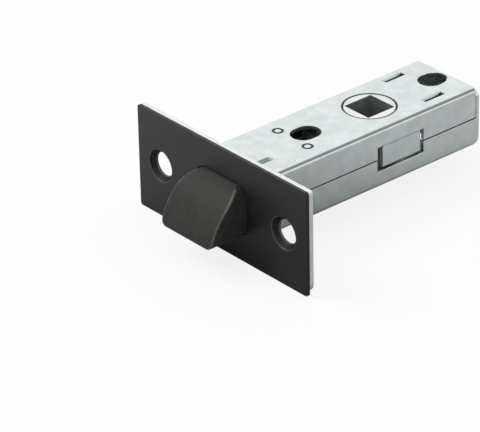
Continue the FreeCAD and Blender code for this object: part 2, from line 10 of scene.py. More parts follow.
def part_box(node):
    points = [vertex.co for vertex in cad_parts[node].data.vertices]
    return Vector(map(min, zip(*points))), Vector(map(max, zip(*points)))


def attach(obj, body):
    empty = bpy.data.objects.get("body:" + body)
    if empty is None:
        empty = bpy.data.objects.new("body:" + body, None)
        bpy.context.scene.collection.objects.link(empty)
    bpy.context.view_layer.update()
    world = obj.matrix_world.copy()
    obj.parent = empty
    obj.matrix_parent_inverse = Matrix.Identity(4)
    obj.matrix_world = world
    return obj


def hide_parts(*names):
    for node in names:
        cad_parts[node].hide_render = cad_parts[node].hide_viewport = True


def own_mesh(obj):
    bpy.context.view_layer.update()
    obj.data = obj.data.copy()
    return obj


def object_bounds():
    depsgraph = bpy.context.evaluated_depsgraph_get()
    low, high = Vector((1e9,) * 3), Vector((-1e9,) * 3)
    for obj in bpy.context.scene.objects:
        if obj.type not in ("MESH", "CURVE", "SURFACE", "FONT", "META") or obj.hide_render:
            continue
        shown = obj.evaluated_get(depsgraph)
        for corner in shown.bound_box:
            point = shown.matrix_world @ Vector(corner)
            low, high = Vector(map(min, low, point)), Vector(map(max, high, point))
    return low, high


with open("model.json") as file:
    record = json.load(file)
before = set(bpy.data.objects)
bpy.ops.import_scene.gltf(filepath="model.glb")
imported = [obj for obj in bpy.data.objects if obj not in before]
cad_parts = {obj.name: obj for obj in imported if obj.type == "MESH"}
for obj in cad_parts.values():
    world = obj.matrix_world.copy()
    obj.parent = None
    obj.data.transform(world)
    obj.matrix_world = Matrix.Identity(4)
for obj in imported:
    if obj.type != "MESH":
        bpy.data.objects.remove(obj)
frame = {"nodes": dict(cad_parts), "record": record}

bl_info = {
    "name": "Tubular Door Latch",
    "version": (1, 0, 0),
    "blender": (4, 5, 0),
    "location": "3D View > Sidebar > Latch",
    "description": "Dresses a tubular door latch: coated forend, plated case, blackened bolt",
    "category": "Object",
}

MM = 0.001

# Camera and lamp
PHOTO_WIDTH = 480
SENSOR_WIDTH = 36.0
KEY_SIZE = 0.6
KEY_PLACE = (-0.45, -0.35, 0.75)
KEY_AIM = (0, 0.03, 0)
FLOOR_RADIUS = 3.0

# Forend: X along it and Y into the door, both from the middle of the cover's face
SCREW_X = 20.9 * MM
COUNTERSINK_RADIUS = 4.3 * MM
SUNK_RADIUS = 3.8 * MM
SCREW_WALL_RADIUS = 3 * MM
SCREW_WALL_Y = 1.1 * MM
COUNTERSINK_SOFT = 0.12 * MM

# Case: outside faces, and limits that set its sheets and its seam apart
CASE_TOP_Z = 7.5 * MM
SHEET_Z = 6.5 * MM
CUT_SHEET_Z = 6.6 * MM
CUT_SHEET_X = 7 * MM
CUT_SHEET_FRONT_Y = 3 * MM
CUT_SHEET_REAR_Y = 68.2 * MM
SEAM_Z = -0.1 * MM
SEAM_HEIGHT = 0.5 * MM
SIDE_WALL_X = 9 * MM
BEND_X = 8.65 * MM
BEND_Z = 6.15 * MM

# Marks pressed into the top: where they are and between which heights they lie
RING_X = 5.0 * MM
RING_Y = 21.2 * MM
RING_RADIUS = 1.5 * MM
RING_LOW = 7.3 * MM
RING_HIGH = 7.47 * MM
GROOVE_X = 3.7 * MM
GROOVE_HALF_WIDTH = 0.95 * MM
GROOVE_END_Y = 11.9 * MM
GROOVE_LOW = 7.0 * MM
GROOVE_HIGH = 7.49 * MM
SLIT_X = 6.6 * MM
SLIT_Y = 58.15 * MM
SLIT_HALF_WIDTH = 0.625 * MM
SLIT_HALF_LENGTH = 3.3 * MM
SLIT_RIM_Z = 7.4 * MM

# Hub and its square, which share the spindle's axis
HUB_Y = 44.4 * MM
HUB_HOLE_RADIUS = 6.7 * MM
HUB_RADIUS = 6.6 * MM
HUB_FACE_Z = 6.85 * MM
HUB_RIM_Z = 7 * MM
HUB_RIM_RADIUS = 5.8 * MM
SQUARE_REACH = 4.05 * MM

# Rear hole, and the steps that widen it: from where, how much wider, how far back
REAR_HOLE_Y = 63.4 * MM
REAR_HOLE_REACH = 4.0 * MM
REAR_HOLE_STEPS = (
    (64.4 * MM, 1.07, 0.1 * MM),
    (65.1 * MM, 1.08, 0.1 * MM),
    (65.7 * MM, 1.1, 0.2 * MM),
)

# Side tabs: each end's place, and how far back it is moved
TAB_ENDS = ((38.95 * MM, 0.75 * MM), (50.65 * MM, 0.65 * MM))
TAB_SIDE_X = 7.5 * MM
TAB_LOW = -3.5 * MM
TAB_HIGH = 3.1 * MM

# Meshes: what counts as one point, a flat face, an edge to round and a smooth edge
SAME_POINT = 0.002 * MM
FLAT_ANGLE = math.radians(0.5)
SHARP_ANGLE = math.radians(30)
SMOOTH_ANGLE = math.radians(40)

# Sockets of a colour's Mix node, several of which have the same name
MIX_SHARE = 0
MIX_FIRST = 6
MIX_SECOND = 7
MIX_COLOUR = 2

# A noise seldom leaves this range, so patterns run over it
NOISE_LOW = 0.35
NOISE_HIGH = 0.65

CAD_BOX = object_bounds()
BODY_OF = {
    node: body for body, nodes in frame["record"]["behaviour"]["bodies"].items() for node in nodes
}


def hex_to_linear(text):
    """Turn an sRGB colour such as #3b3a39 into the linear values that shaders take."""
    channels = [int(text[i:i + 2], 16) / 255 for i in (1, 3, 5)]
    linear = [c / 12.92 if c <= 0.04045 else ((c + 0.055) / 1.055) ** 2.4 for c in channels]
    return (*linear, 1.0)


def colour_property(name, description, text):
    return FloatVectorProperty(
        name=name,
        description=description,
        subtype="COLOR",
        size=4,
        min=0.0,
        max=1.0,
        default=hex_to_linear(text),
    )


def length_property(name, description, millimetres):
    return FloatProperty(
        name=name,
        description=description,
        subtype="DISTANCE",
        unit="LENGTH",
        min=0.0,
        default=millimetres * MM,
    )


class LatchFinishes(bpy.types.PropertyGroup):
    """Colours of the latch's surfaces."""

    coat: colour_property("Coat", "Black coat of the forend cover", "#1c1c1c")
    bolt: colour_property("Bolt", "Blackened surface of the bolt", "#323330")
    sheet: colour_property("Case sheet", "Zinc-plated sheet of the case", "#dfe6e6")
    casting: colour_property("Casting", "Bare zinc castings", "#e3e5e3")
    steel: colour_property("Steel", "Bare stamped and turned steel inside", "#a5a6a4")
    spring: colour_property("Spring", "Drawn spring wire", "#8b8b88")
    nylon: colour_property("Nylon", "Natural nylon washers", "#dedbd0")
    # Painted shade in the stamped rings and on the hub's rim.
    recess_shade: colour_property("Stamping", "Dulled plating in the stamped rings", "#5c605f")
    # Painted shade on the walls of the spindle's square.
    square_shade: colour_property("Broached square", "Walls of the spindle's square", "#b4b7b8")
    # Painted highlight on the bolt ramp's edges, the countersinks' rims and the screw holes' walls.
    highlighted: colour_property("Rubbed edge", "Black finish rubbed thin on edges", "#4a4a47")
    # Painted shade in the pressed groove.
    drawn: colour_property("Drawn groove", "Stretched plating in the pressed groove", "#8d958f")
    # Bare steel of the cut edges, darkened further as painted shade at the seam and in the holes.
    cut_edge_shade: colour_property("Sheared edge", "Bare steel of the sheet's cut edges", "#666c69")


class LatchSizes(bpy.types.PropertyGroup):
    """Roundings, gaps and rims of the dressed pieces, and the springs' wire."""

    cover_edge: length_property("Cover edge", "Rounding of the cover's edges", 0.08)
    sheet_edge: length_property("Sheet edge", "Rounding of the case's cut edges", 0.14)
    casting_edge: length_property("Casting edge", "Rounding of cast edges", 0.12)
    bolt_edge: length_property("Bolt edge", "Rounding of the bolt's edges", 0.22)
    # The ramp's rounded edges carry a painted highlight.
    bolt_highlight_edge: length_property("Bolt rub", "Rounding of the ramp's two worn edges", 0.35)
    seam: length_property("Seam", "Gap seen between the case's two shells", 0.35)
    hub_hole: length_property("Hub hole", "Outer radius of the hub hole's soft rim", 6.68)
    hub_rim: length_property("Hub rim", "Radius of the hub hole's soft rim", 0.55)
    hub: length_property("Hub", "Radius of the hub in its hole", 5.95)
    hub_face: length_property("Hub face", "Height of the hub's faces from the middle", 7.4)
    countersink_rim: length_property("Countersink", "Radius of the countersinks' rims", 3.95)
    edge_steps: IntProperty(name="Edge steps", description="Faces across a rounded edge", default=2)
    spring_wire: length_property("Spring wire", "Thickness of the springs' wire", 0.6)
    spring_turns: IntProperty(name="Spring turns", description="Turns of each bolt spring", default=9)


class LatchStage(bpy.types.PropertyGroup):
    """Camera and light of the studio."""

    azimuth: FloatProperty(
        name="Azimuth", description="Camera's way round", subtype="ANGLE", default=math.radians(49.91)
    )
    elevation: FloatProperty(
        name="Elevation", description="Camera's height", subtype="ANGLE", default=math.radians(29.13)
    )
    roll: FloatProperty(
        name="Roll", description="Camera's tilt", subtype="ANGLE", default=math.radians(-1.23)
    )
    distance: length_property("Distance", "From the origin to the camera", 762.84)
    shift_right: FloatProperty(
        name="Aim right", description="Sideways place of the aim", unit="LENGTH", default=4.208 * MM
    )
    shift_up: FloatProperty(
        name="Aim up", description="Upward place of the aim", unit="LENGTH", default=-3.731 * MM
    )
    focal_pixels: FloatProperty(
        name="Focal length", description="Focal length in pixels of the picture", default=3463.1
    )
    world_strength: FloatProperty(name="World", description="Strength of the sky light", default=0.6)
    key_power: FloatProperty(name="Key", description="Power of the large lamp", default=4.0)
    floor_white: FloatProperty(
        name="Floor white", description="Share of plain white in the floor that is seen", default=0.84
    )
    floor_cast: FloatProperty(name="Floor cast", description="Floor's tone to the latch", default=0.85)
    # The three gloss tones below paint the case's shadow into the floor's reflection: pale at the
    # left, darker at the right.
    floor_left: FloatProperty(
        name="Floor left", description="Floor's tone in gloss at the latch's left", default=0.85
    )
    floor_right: FloatProperty(
        name="Floor right", description="Floor's tone in gloss right of the forend", default=0.35
    )
    floor_rear: FloatProperty(
        name="Floor rear", description="Floor's tone in gloss right of the case's end", default=0.61
    )


def add_node(tree, kind, settings=None, inputs=None):
    """Add one node; inputs maps a socket to a value or to another node's output."""
    node = tree.nodes.new(kind)
    for name, value in (settings or {}).items():
        setattr(node, name, value)
    for name, value in (inputs or {}).items():
        if isinstance(value, bpy.types.NodeSocket):
            tree.links.new(value, node.inputs[name])
        else:
            node.inputs[name].default_value = value
    return node


def new_material(name):
    material = bpy.data.materials.new(name)
    material.use_nodes = True
    material.node_tree.nodes.clear()
    return material, material.node_tree


def object_coordinates(tree, scale=(1.0, 1.0, 1.0)):
    """Object coordinates stretched along the axes, in metres before the stretch."""
    place = add_node(tree, "ShaderNodeTexCoord")
    mapping = add_node(
        tree, "ShaderNodeMapping", inputs={"Vector": place.outputs["Object"], "Scale": scale}
    )
    return mapping.outputs["Vector"]


def over_noise(factor, low, high):
    """Inputs of a Map Range node that runs from low to high over a noise."""
    return {
        "Value": factor,
        "From Min": NOISE_LOW,
        "From Max": NOISE_HIGH,
        "To Min": low,
        "To Max": high,
    }


def clouds(tree, place, size, colour, darker, lighter, detail=3.0, roughness=0.5):
    """Clouds about the given size across, in metres: their noise, and the colour in their shades."""
    noise = add_node(
        tree,
        "ShaderNodeTexNoise",
        inputs={"Vector": place, "Scale": 1.0 / size, "Detail": detail, "Roughness": roughness},
    ).outputs["Fac"]
    share = add_node(tree, "ShaderNodeMapRange", inputs=over_noise(noise, 0.0, 1.0))
    shades = [(*(channel * level for channel in colour[:3]), 1.0) for level in (darker, lighter)]
    tone = add_node(
        tree,
        "ShaderNodeMix",
        {"data_type": "RGBA"},
        {MIX_SHARE: share.outputs["Result"], MIX_FIRST: shades[0], MIX_SECOND: shades[1]},
    )
    return noise, tone.outputs[MIX_COLOUR]


def grain(tree, place, size, strength, depth):
    """A grain about the given size across, in metres: its noise, and the normal of its bumps."""
    noise = add_node(
        tree,
        "ShaderNodeTexNoise",
        inputs={"Vector": place, "Scale": 1.0 / size, "Detail": 2.0},
    ).outputs["Fac"]
    bumps = add_node(
        tree,
        "ShaderNodeBump",
        inputs={"Height": noise, "Strength": strength, "Distance": depth},
    )
    return noise, bumps.outputs["Normal"]


def finish_surface(tree, gloss, inputs):
    """Close a material whose roughness runs from low to high over a noise."""
    roughness = add_node(tree, "ShaderNodeMapRange", inputs=over_noise(*gloss))
    shader = add_node(
        tree,
        "ShaderNodeBsdfPrincipled",
        inputs={"Roughness": roughness.outputs["Result"], **inputs},
    )
    add_node(tree, "ShaderNodeOutputMaterial", inputs={"Surface": shader.outputs["BSDF"]})


def black_coat():
    """Stoved black coat on steel: satin, with a fine pebbled skin and slightly cloudy tone."""
    material, tree = new_material("black_stoved_coat")
    colour = bpy.context.scene.latch_finishes.coat
    place = object_coordinates(tree)
    tone = clouds(tree, place, 6.0 * MM, colour, 0.88, 1.12, detail=4.0)[1]
    pebble, normal = grain(tree, place, 0.25 * MM, 0.2, 0.02 * MM)
    shader = {"Base Color": tone, "Metallic": 0.0, "IOR": 1.45, "Normal": normal}
    finish_surface(tree, (pebble, 0.36, 0.46), shader)
    return material


def blackened_bolt():
    """Chemically blackened casting: dark with faint green-grey clouds and a dull sheen."""
    material, tree = new_material("blackened_casting")
    colour = bpy.context.scene.latch_finishes.bolt
    place = object_coordinates(tree)
    cloud, tone = clouds(tree, place, 3.0 * MM, colour, 0.82, 1.16, detail=5.0, roughness=0.6)
    normal = grain(tree, place, 0.2 * MM, 0.3, 0.02 * MM)[1]
    shader = {"Base Color": tone, "Metallic": 0.0, "IOR": 1.27, "Normal": normal}
    finish_surface(tree, (cloud, 0.45, 0.6), shader)
    return material


def painted_highlight_black():
    """Black finish a little paler and smoother than the face: a painted highlight on edges."""
    material, tree = new_material("painted_highlight_black")
    colour = bpy.context.scene.latch_finishes.highlighted
    wear, tone = clouds(tree, object_coordinates(tree), 0.8 * MM, colour, 0.7, 1.2)
    finish_surface(tree, (wear, 0.3, 0.4), {"Base Color": tone, "Metallic": 0.0, "IOR": 1.5})
    return material


def painted_shade_sunk_coat():
    """Black coat in the countersinks, darker and duller than the face: a painted shade in the recess.
    """
    material, tree = new_material("painted_shade_sunk_coat")
    colour = bpy.context.scene.latch_finishes.coat
    cloud, tone = clouds(tree, object_coordinates(tree), 1.0 * MM, colour, 0.4, 0.8)
    finish_surface(tree, (cloud, 0.5, 0.65), {"Base Color": tone, "Metallic": 0.0, "IOR": 1.35})
    return material


def natural_nylon():
    """Moulded natural nylon: milky, soft-edged, with light passing a little way in."""
    material, tree = new_material("moulded_nylon")
    colour = bpy.context.scene.latch_finishes.nylon
    tone = clouds(tree, object_coordinates(tree), 1.5 * MM, colour, 0.95, 1.03)[1]
    shader = add_node(
        tree,
        "ShaderNodeBsdfPrincipled",
        inputs={
            "Base Color": tone,
            "Roughness": 0.5,
            "IOR": 1.53,
            "Subsurface Weight": 0.1,
            "Subsurface Radius": (0.6 * MM, 0.5 * MM, 0.4 * MM),
        },
    )
    add_node(tree, "ShaderNodeOutputMaterial", inputs={"Surface": shader.outputs["BSDF"]})
    return material


def metal(name, colour, roughness, cloud_size, grain_size, stretch, contrast, dull=None):
    """A bare or plated metal: clouds in tone, and a grain drawn out along one axis.

    Where dull gives 1, the metal is darkened to a painted shade."""
    material, tree = new_material(name)
    place = object_coordinates(tree)
    shades = (1.0 - contrast, 1.0 + contrast / 2)
    tone = clouds(tree, place, cloud_size, colour, *shades, detail=4.0)[1]
    noise, normal = grain(tree, object_coordinates(tree, stretch), grain_size, 0.2, 0.01 * MM)
    # Painted shade: where the mask gives 1, the tone falls to 0.3 of the colour.
    if dull:
        painted_shade_tone = (*(0.3 * channel for channel in colour[:3]), 1.0)
        tone = add_node(
            tree,
            "ShaderNodeMix",
            {"data_type": "RGBA"},
            {MIX_SHARE: dull(tree), MIX_FIRST: tone, MIX_SECOND: painted_shade_tone},
        ).outputs[MIX_COLOUR]
    gloss = (noise, roughness * 0.85, roughness * 1.2)
    finish_surface(tree, gloss, {"Base Color": tone, "Metallic": 1.0, "Normal": normal})
    return material


def painted_bend_shade(tree):
    """1 on a line along each long bend of the case, where a painted dark reflection darkens the
    plating.
    """
    place = add_node(tree, "ShaderNodeTexCoord")
    parts = add_node(tree, "ShaderNodeSeparateXYZ", inputs={"Vector": place.outputs["Object"]})
    offsets = {}
    for number, (axis, middle) in enumerate((("X", BEND_X), ("Z", BEND_Z))):
        size = add_node(tree, "ShaderNodeMath", {"operation": "ABSOLUTE"}, {0: parts.outputs[axis]})
        offset = add_node(
            tree, "ShaderNodeMath", {"operation": "SUBTRACT"}, {0: size.outputs[0], 1: middle}
        )
        offsets[number] = offset.outputs[0]
    turn = add_node(tree, "ShaderNodeMath", {"operation": "ARCTAN2"}, offsets)
    share = add_node(
        tree, "ShaderNodeMath", {"operation": "DIVIDE"}, {0: turn.outputs[0], 1: math.pi / 2}
    )
    ramp = add_node(tree, "ShaderNodeValToRGB", inputs={"Fac": share.outputs[0]})
    stops = ramp.color_ramp.elements
    stops[0].position = 0.3
    stops[1].position = 0.4
    for position, value in ((0.62, 1.0), (0.7, 0.0)):
        stops.new(position).color = (value, value, value, 1.0)
    return ramp.outputs["Color"]


def plated_sheet():
    """Zinc-plated cold-rolled sheet: bright and slightly cool, with a fine rolling grain along Y and a
    painted dark reflection along its long bends.
    """
    colour = bpy.context.scene.latch_finishes.sheet
    rolled = (1.0, 0.08, 1.0)
    return metal("zinc_plated_sheet", colour, 0.2, 3.0 * MM, 0.3 * MM, rolled, 0.08, painted_bend_shade)


def zinc_casting():
    """Die-cast zinc left bare: pale and flat, with a close grainy skin."""
    colour = bpy.context.scene.latch_finishes.casting
    return metal("die_cast_zinc", colour, 0.7, 3.0 * MM, 0.2 * MM, (1.0, 1.0, 1.0), 0.06)


def painted_shade_plating():
    """Plating darkened to a painted shade in the stamped rings and on the hub's rim: dark, rough and
    flat.
    """
    colour = bpy.context.scene.latch_finishes.recess_shade
    return metal("shaded_rings_and_rim", colour, 0.5, 0.6 * MM, 0.1 * MM, (1.0, 1.0, 1.0), 0.1)


def groove_shade_plating():
    """Plating in the pressed groove, greyer and duller than the flat sheet: a painted shade in the
    groove.
    """
    colour = bpy.context.scene.latch_finishes.drawn
    return metal("groove_shade_plating", colour, 0.5, 1.0 * MM, 0.15 * MM, (1.0, 0.2, 1.0), 0.1)


def shaded_cut_steel():
    """The sheet's cut edges: bare steel torn by the die, rough, and darkened as painted shade in the
    holes and the seam.
    """
    colour = bpy.context.scene.latch_finishes.cut_edge_shade
    return metal("shaded_cut_steel", colour, 0.8, 1.0 * MM, 0.1 * MM, (1.0, 1.0, 0.3), 0.15)


def square_shade_zinc():
    """The follower's square: cast zinc, greyer than the outside as a painted shade inside the square
    hole.
    """
    colour = bpy.context.scene.latch_finishes.square_shade
    return metal("square_shade_zinc", colour, 0.45, 1.0 * MM, 0.1 * MM, (1.0, 1.0, 0.2), 0.15)


def stamped_steel():
    """Bare stamped and turned steel: mid grey with a dull, oily sheen."""
    colour = bpy.context.scene.latch_finishes.steel
    return metal("stamped_steel", colour, 0.4, 4.0 * MM, 0.25 * MM, (1.0, 0.2, 1.0), 0.1)


def spring_wire():
    """Hard-drawn spring wire: darker steel with a smooth drawn skin."""
    colour = bpy.context.scene.latch_finishes.spring
    return metal("drawn_spring_wire", colour, 0.3, 2.0 * MM, 0.15 * MM, (1.0, 1.0, 1.0), 0.1)


def set_material(obj, material):
    obj.data.materials.clear()
    obj.data.materials.append(material)


def round_edges(shape, edges, radius, steps, clamp=False):
    """Round edges and return the new faces."""
    rounded = bmesh.ops.bevel(
        shape,
        geom=edges,
        offset=radius,
        offset_type="OFFSET",
        affect="EDGES",
        segments=steps,
        profile=0.5,
        material=-1,
        clamp_overlap=clamp,
    )
    return rounded["faces"]


def rounded_copy(node, edge, material, refine=None, finishes=()):
    """A copy of a CAD node with merged points, flat faces made whole and its edges rounded.

    Each of the finishes goes to the faces for which its test of centre and normal is true."""
    steps = bpy.context.scene.latch_sizes.edge_steps
    shape = bmesh.new()
    shape.from_mesh(frame["nodes"][node].data)
    bmesh.ops.remove_doubles(shape, verts=shape.verts, dist=SAME_POINT)
    bmesh.ops.dissolve_limit(shape, angle_limit=FLAT_ANGLE, verts=shape.verts, edges=shape.edges)
    if refine:
        refine(shape)
    sharp = [e for e in shape.edges if e.is_manifold and e.calc_face_angle(0.0) > SHARP_ANGLE]
    round_edges(shape, sharp, edge, steps, clamp=True)
    for index, (_, belongs) in enumerate(finishes, start=1):
        for face in shape.faces:
            if belongs and belongs(face.calc_center_median(), face.normal):
                face.material_index = index
    mesh = bpy.data.meshes.new("dressed_" + node)
    shape.to_mesh(mesh)
    shape.free()
    mesh.shade_smooth()
    mesh.set_sharp_from_angle(angle=SMOOTH_ANGLE)
    obj = bpy.data.objects.new("dressed_" + node, mesh)
    bpy.context.scene.collection.objects.link(obj)
    weighted = obj.modifiers.new("flat faces stay flat", "WEIGHTED_NORMAL")
    weighted.keep_sharp = True
    for finish in (material, *(finish for finish, _ in finishes)):
        mesh.materials.append(finish)
    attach(obj, BODY_OF[node])
    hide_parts(node)
    return obj


def dress_nodes(nodes, material):
    """Give CAD nodes a finish and leave their shape as it is."""
    for node in nodes:
        set_material(frame["nodes"][node], material)


def near(value, target, reach=0.03 * MM):
    return abs(value - target) < reach


def round_wall(shape, place, radius, lowest):
    """The points of a round wall along Z; lowest leaves out the walls near the middle."""
    return [
        v
        for v in shape.verts
        if near(math.hypot(v.co.x, v.co.y - place), radius) and abs(v.co.z) > lowest
    ]


def scale_about(shape, points, scale, centre):
    bmesh.ops.scale(shape, vec=scale, space=Matrix.Translation(-Vector(centre)), verts=points)


def press_hub_hole(shape):
    """Give the hub's hole the soft rim that the press tool leaves."""
    sizes = bpy.context.scene.latch_sizes
    share = (sizes.hub_hole - sizes.hub_rim) / HUB_HOLE_RADIUS
    wall = round_wall(shape, HUB_Y, HUB_HOLE_RADIUS, lowest=6.0 * MM)
    scale_about(shape, wall, (share, share, 1.0), (0, HUB_Y, 0))
    outer = {v for v in wall if near(abs(v.co.z), CASE_TOP_Z)}
    rim = [e for e in shape.edges if outer.issuperset(e.verts)]
    round_edges(shape, rim, sizes.hub_rim, steps=4)


def widen_rear_hole(shape):
    """Make the rear hole's extension as wide and long as it shows, in steps that stay smooth."""
    wall = [
        v
        for v in shape.verts
        if math.hypot(v.co.x, v.co.y - REAR_HOLE_Y) < REAR_HOLE_REACH and abs(v.co.z) > SHEET_Z
    ]
    for front, share, step in REAR_HOLE_STEPS:
        rear = [v for v in wall if v.co.y > front]
        scale_about(shape, rear, (share, 1.0, 1.0), (0, 0, 0))
        bmesh.ops.translate(shape, vec=(0, step, 0), verts=rear)


def widen_slits(shape):
    """Slant the left wall of each slit, which the press tool has drawn down, most at its rim."""
    for side in (-1, 1):
        middle = side * SLIT_X
        wall = [
            v
            for v in shape.verts
            if near(v.co.x, middle, SLIT_HALF_WIDTH + 0.01 * MM)
            and near(v.co.y, SLIT_Y, SLIT_HALF_LENGTH)
            and v.co.z > SHEET_Z
        ]
        rim = [v for v in wall if v.co.z > SLIT_RIM_Z]
        right_edge = (middle + SLIT_HALF_WIDTH, 0, 0)
        for points, share in ((wall, 1.5), (rim, 1.2)):
            scale_about(shape, points, (share, 1.0, 1.0), right_edge)


def set_tabs_back(shape):
    """Move the ends of the side tabs, which stand nearer to the rear of their windows."""
    for place, step in TAB_ENDS:
        end = [
            v
            for v in shape.verts
            if near(v.co.y, place) and abs(v.co.x) > TAB_SIDE_X and TAB_LOW < v.co.z < TAB_HIGH
        ]
        bmesh.ops.translate(shape, vec=(0, step, 0), verts=end)


def refine_upper_shell(shape):
    press_hub_hole(shape)
    widen_rear_hole(shape)
    widen_slits(shape)
    set_tabs_back(shape)


def refine_lower_shell(shape):
    """Reshape the holes and open the seam to the width at which it shows."""
    press_hub_hole(shape)
    widen_rear_hole(shape)
    rim = [v for v in shape.verts if near(v.co.z, SEAM_Z)]
    drop = bpy.context.scene.latch_sizes.seam + SEAM_Z
    bmesh.ops.translate(shape, vec=(0, 0, -drop), verts=rim)


def refine_follower(shape):
    """Leave a dark gap round the hub and bring its faces nearly level with the case."""
    sizes = bpy.context.scene.latch_sizes
    share = sizes.hub / HUB_RADIUS
    wall = round_wall(shape, HUB_Y, HUB_RADIUS, lowest=6.05 * MM)
    scale_about(shape, wall, (share, share, 1.0), (0, HUB_Y, 0))
    step = sizes.hub_face - HUB_FACE_Z
    for side in (-1, 1):
        face = [v for v in shape.verts if v.co.z * side > HUB_FACE_Z - 0.01 * MM]
        bmesh.ops.translate(shape, vec=(0, 0, side * step), verts=face)


def refine_cover(shape):
    """Narrow the countersinks' rims to the width at which they show, with a painted highlight at their
    edge.
    """
    share = bpy.context.scene.latch_sizes.countersink_rim / COUNTERSINK_RADIUS
    for side in (-1, 1):
        middle = side * SCREW_X
        rim = [
            v
            for v in shape.verts
            if near(math.hypot(v.co.x - middle, v.co.z), COUNTERSINK_RADIUS)
        ]
        scale_about(shape, rim, (share, 1.0, share), (middle, 0, 0))
        front = {v for v in rim if v.co.y < 0.01 * MM}
        edges = [e for e in shape.edges if front.issuperset(e.verts)]
        for face in round_edges(shape, edges, COUNTERSINK_SOFT, steps=3):
            face.material_index = 2


def refine_bolt(shape):
    """Round the two long edges of the bolt's ramp and give them a painted highlight."""
    radius = bpy.context.scene.latch_sizes.bolt_highlight_edge
    outside = [f for f in shape.faces if f.calc_center_median().y < 0]
    ramp = {e for f in outside if f.normal.y < -0.3 for e in f.edges}
    side = {e for f in outside if abs(f.normal.y) < 0.05 for e in f.edges}
    along = [e for e in shape.edges if e in ramp and e in side]
    for face in round_edges(shape, along, radius, steps=3):
        face.material_index = 1


def in_screw_hole(centre, normal):
    """True below the rims of the countersinks."""
    across = math.hypot(abs(centre.x) - SCREW_X, centre.z)
    return across < SUNK_RADIUS and centre.y > 0.03 * MM


def on_screw_wall(centre, normal):
    """True for the straight walls of the screw holes, which get a painted highlight."""
    across = math.hypot(abs(centre.x) - SCREW_X, centre.z)
    return across < SCREW_WALL_RADIUS and centre.y > SCREW_WALL_Y


class LATCH_OT_forend(bpy.types.Operator):
    """Dress the black cover and the cast forend behind it"""

    bl_idname = "latch.forend"
    bl_label = "Forend"

    def execute(self, context):
        sizes = context.scene.latch_sizes
        # Painted shade in the countersinks, and a painted highlight on their rims and on the screw
        # holes' walls.
        finishes = ((painted_shade_sunk_coat(), in_screw_hole), (painted_highlight_black(), on_screw_wall))
        rounded_copy("cover_plate", sizes.cover_edge, black_coat(), refine_cover, finishes)
        rounded_copy("forend", sizes.casting_edge, zinc_casting())
        return {"FINISHED"}


def in_ring(centre, normal):
    """True for the floors of the two stamped rings."""
    across = math.hypot(abs(centre.x) - RING_X, centre.y - RING_Y)
    return across < RING_RADIUS and RING_LOW < centre.z < RING_HIGH


def in_groove(centre, normal):
    """True for the floor and walls of the pressed groove."""
    across = near(centre.x, GROOVE_X, GROOVE_HALF_WIDTH) and centre.y < GROOVE_END_Y
    return across and GROOVE_LOW < centre.z < GROOVE_HIGH


def on_cut_edge(centre, normal):
    """True for the walls of the holes, but the slits', and for the edges that meet at the seam."""
    along = CUT_SHEET_FRONT_Y < centre.y < CUT_SHEET_REAR_Y
    in_sheet = abs(centre.z) > CUT_SHEET_Z and abs(centre.x) < CUT_SHEET_X and along
    at_slit = near(abs(centre.x), SLIT_X, 1.6 * MM) and near(centre.y, SLIT_Y, 3.6 * MM)
    at_hub = near(math.hypot(centre.x, centre.y - HUB_Y), HUB_HOLE_RADIUS, 0.6 * MM)
    wall = abs(normal.z) < (0.97 if at_hub else 0.4) and not at_slit
    beside = abs(centre.z) < SEAM_HEIGHT and abs(centre.x) > SIDE_WALL_X
    at_seam = beside and abs(normal.z) > 0.7
    return (in_sheet and wall) or at_seam


class LATCH_OT_case(bpy.types.Operator):
    """Dress the two pressed shells of the case"""

    bl_idname = "latch.case"
    bl_label = "Case"

    def execute(self, context):
        edge = context.scene.latch_sizes.sheet_edge
        material = plated_sheet()
        # Painted shade on the cut edges of the holes and the seam, in the stamped rings and in the
        # groove.
        cut = (shaded_cut_steel(), on_cut_edge)
        pressed = ((painted_shade_plating(), in_ring), (groove_shade_plating(), in_groove))
        rounded_copy("upper_shell", edge, material, refine_upper_shell, (cut, *pressed))
        rounded_copy("lower_shell", edge, material, refine_lower_shell, (cut,))
        return {"FINISHED"}


class LATCH_OT_bolt(bpy.types.Operator):
    """Dress the bevelled latch bolt"""

    bl_idname = "latch.bolt"
    bl_label = "Bolt"

    def execute(self, context):
        edge = context.scene.latch_sizes.bolt_edge
        # Painted highlight on the ramp's rounded edges.
        finishes = ((painted_highlight_black(), None),)
        rounded_copy("latch_bolt", edge, blackened_bolt(), refine_bolt, finishes)
        return {"FINISHED"}


def in_square(centre, normal):
    """True for the four walls that hold the spindle."""
    across = max(abs(centre.x), abs(centre.y - HUB_Y))
    return across < SQUARE_REACH and abs(normal.z) < 0.4


def on_hub_edge(centre, normal):
    """True for the rounded rim of the hub, which gets a painted shade."""
    across = math.hypot(centre.x, centre.y - HUB_Y)
    return across > HUB_RIM_RADIUS and abs(centre.z) > HUB_RIM_Z and abs(normal.z) < 0.98


class LATCH_OT_follower(bpy.types.Operator):
    """Dress the follower that the spindle turns"""

    bl_idname = "latch.follower"
    bl_label = "Follower"

    def execute(self, context):
        edge = context.scene.latch_sizes.casting_edge
        # Painted shade on the square's walls and on the hub's rim.
        finishes = ((square_shade_zinc(), in_square), (painted_shade_plating(), on_hub_edge))
        rounded_copy("follower", edge, zinc_casting(), refine_follower, finishes)
        return {"FINISHED"}


class LATCH_OT_mechanism(bpy.types.Operator):
    """Finish the draw frame, block, pins and washers inside the case"""

    bl_idname = "latch.mechanism"
    bl_label = "Mechanism"

    def execute(self, context):
        steel = stamped_steel()
        dress_nodes(["upper_draw_plate", "lower_draw_plate"], steel)
        for side in ("left", "right"):
            dress_nodes(["bolt_rivet_" + side, "pull_pin_" + side, "spring_guide_" + side], steel)
        dress_nodes(["spring_block"], zinc_casting())
        dress_nodes(["upper_hub_washer", "lower_hub_washer"], natural_nylon())
        return {"FINISHED"}


